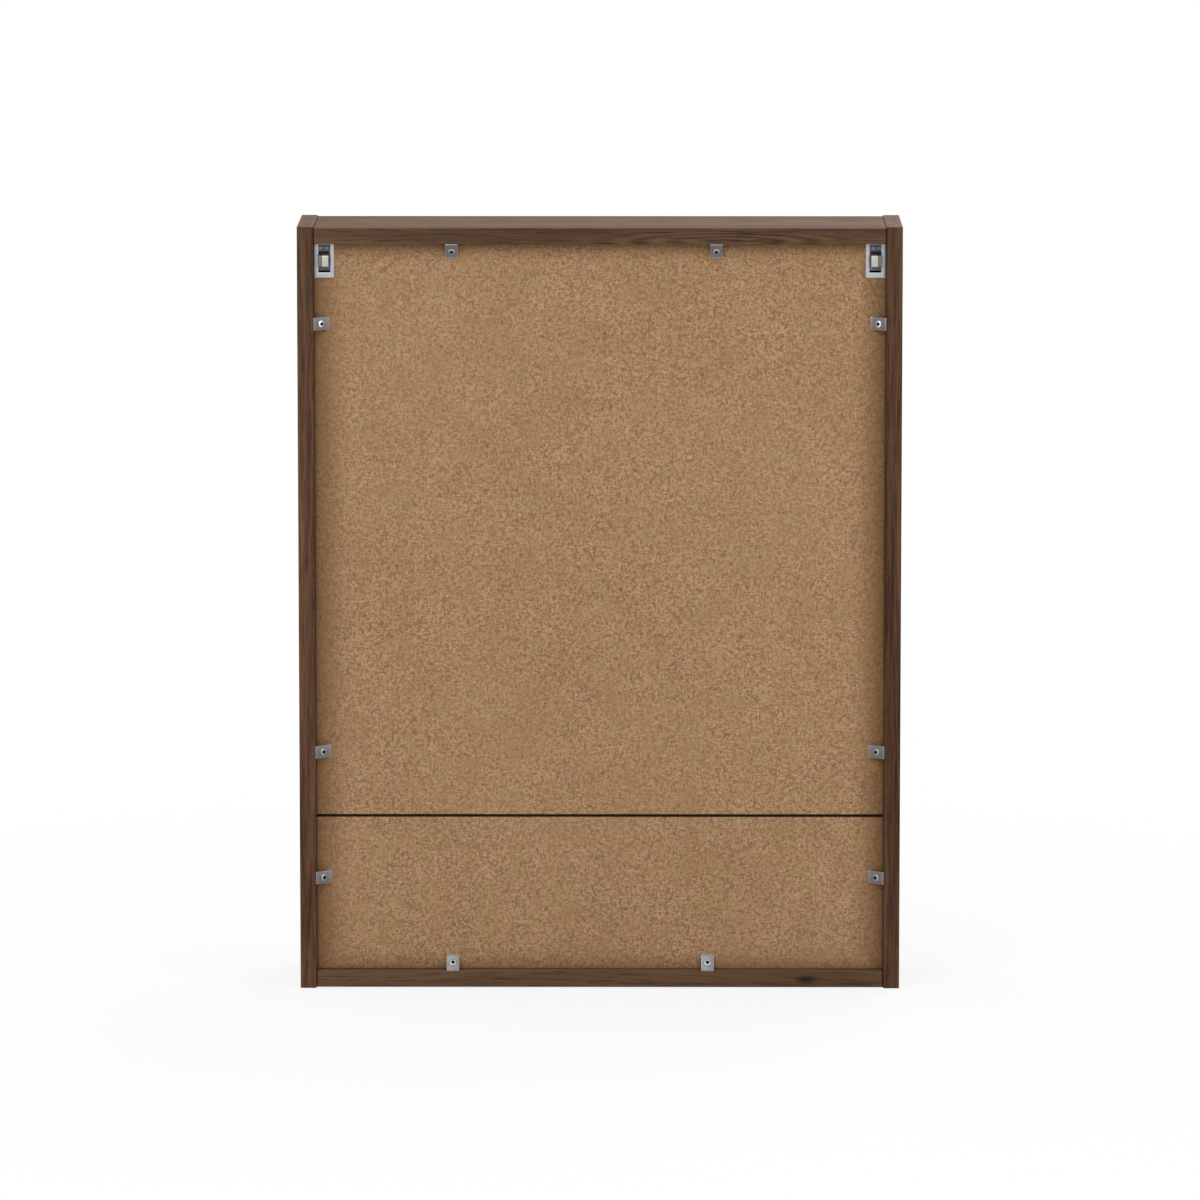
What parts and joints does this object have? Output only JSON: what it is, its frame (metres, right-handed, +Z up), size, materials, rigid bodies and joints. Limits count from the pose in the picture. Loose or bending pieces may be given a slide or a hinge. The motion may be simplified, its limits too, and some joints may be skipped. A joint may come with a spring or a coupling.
{
  "type": "mirror cabinet",
  "caption": "Wall-hung cabinet with mirror doors on cup hinges over an open niche, a recessed hardboard back and adjustable hangers in its top corners.",
  "frame": {"origin": "under the middle of the cabinet, on the plane of the sides' lower ends", "axes": "+Z up, -Y out of the mirror doors, +Y towards the wall, +X to the right of a person who faces the doors"},
  "size_m": [0.6, 0.15, 0.766],
  "materials": {
    "walnut_decor": "matt melamine, brown walnut decor",
    "hardboard": "bare brown hardboard",
    "zinc": "zinc plated sheet",
    "hook_zinc": "pale zinc plated steel",
    "screw_steel": "zinc plated steel",
    "nickel": "nickel plated steel",
    "dark_plastic": "dark grey moulded plastic",
    "beech": "plain beech",
    "shelf_glass": "clear float glass",
    "mirror_glass": "silvered float glass",
    "bumper_rubber": "soft clear plastic"
  },
  "bodies": {
    "cabinet": {"right_side": "walnut_decor", "left_side": "walnut_decor", "top_panel": "walnut_decor", "bottom_panel": "walnut_decor", "fixed_shelf": "walnut_decor", "back_panel_upper": "hardboard", "back_panel_lower": "hardboard", "back_clips": "zinc", "back_clip_screws": "screw_steel", "wood_dowels": "beech", "lower_glass_shelf": "shelf_glass", "upper_glass_shelf": "shelf_glass", "shelf_pins": "nickel", "hinge_mounting_plates": "nickel", "hinge_plate_screws": "screw_steel", "hinge_arms": "nickel", "hinge_arm_screws": "screw_steel", "right_hanger_housing": "dark_plastic", "right_hanger_face_plate": "zinc", "left_hanger_housing": "dark_plastic", "left_hanger_face_plate": "zinc"},
    "right_door": {"right_door_panel": "walnut_decor", "right_door_mirror": "mirror_glass", "right_door_bumpers": "bumper_rubber", "right_hinge_cups": "nickel", "right_hinge_pins": "screw_steel", "right_hinge_cup_screws": "screw_steel"},
    "right_hanger_carriage": {"right_hanger_slider": "dark_plastic"},
    "right_hook": {"right_hanger_hook": "hook_zinc"},
    "right_height_screw": {"right_hanger_height_screw": "screw_steel"},
    "right_depth_screw": {"right_hanger_depth_screw": "screw_steel"},
    "left_door": {"left_door_panel": "walnut_decor", "left_door_mirror": "mirror_glass", "left_door_bumpers": "bumper_rubber", "left_hinge_cups": "nickel", "left_hinge_pins": "screw_steel", "left_hinge_cup_screws": "screw_steel"},
    "left_hanger_carriage": {"left_hanger_slider": "dark_plastic"},
    "left_hook": {"left_hanger_hook": "hook_zinc"},
    "left_height_screw": {"left_hanger_height_screw": "screw_steel"},
    "left_depth_screw": {"left_hanger_depth_screw": "screw_steel"}
  },
  "joints": [
    {"name": "right_door_hinge", "type": "hinge", "parent": "cabinet", "child": "right_door", "pos_m": [0.292, -0.064, 0.4643], "axis": [0, 0, 1], "range_deg": [0, 94]},
    {"name": "right_height_screw_turn", "type": "hinge", "parent": "cabinet", "child": "right_height_screw", "pos_m": [0.2739, 0.023, 0.7163], "axis": [0, 0, 1], "range_deg": [-1710, 0]},
    {"name": "right_hook_height", "type": "slide", "parent": "cabinet", "child": "right_hanger_carriage", "axis": [0, 0, 1], "range_m": [-0.0038, 0]},
    {"name": "right_depth_screw_turn", "type": "hinge", "parent": "right_hanger_carriage", "child": "right_depth_screw", "pos_m": [0.2739, 0.018, 0.7316], "axis": [0, 1, 0], "range_deg": [-1575, 1125]},
    {"name": "right_hook_depth", "type": "slide", "parent": "right_hanger_carriage", "child": "right_hook", "axis": [0, 1, 0], "range_m": [-0.00349, 0.00249]},
    {"name": "left_door_hinge", "type": "hinge", "parent": "cabinet", "child": "left_door", "pos_m": [-0.292, -0.064, 0.4643], "axis": [0, 0, -1], "range_deg": [0, 94]},
    {"name": "left_height_screw_turn", "type": "hinge", "parent": "cabinet", "child": "left_height_screw", "pos_m": [-0.2739, 0.023, 0.7163], "axis": [0, 0, 1], "range_deg": [-1710, 0]},
    {"name": "left_hook_height", "type": "slide", "parent": "cabinet", "child": "left_hanger_carriage", "axis": [0, 0, 1], "range_m": [-0.0038, 0]},
    {"name": "left_depth_screw_turn", "type": "hinge", "parent": "left_hanger_carriage", "child": "left_depth_screw", "pos_m": [-0.2739, 0.018, 0.7316], "axis": [0, 1, 0], "range_deg": [-1575, 1125]},
    {"name": "left_hook_depth", "type": "slide", "parent": "left_hanger_carriage", "child": "left_hook", "axis": [0, 1, 0], "range_m": [-0.00349, 0.00249]}
  ],
  "couplings": [
    {"joint": "right_height_screw_turn", "follows": "right_hook_height", "rad_per_m": 7854},
    {"joint": "right_depth_screw_turn", "follows": "right_hook_depth", "rad_per_m": 7854},
    {"joint": "left_height_screw_turn", "follows": "left_hook_height", "rad_per_m": 7854},
    {"joint": "left_depth_screw_turn", "follows": "left_hook_depth", "rad_per_m": 7854}
  ]
}
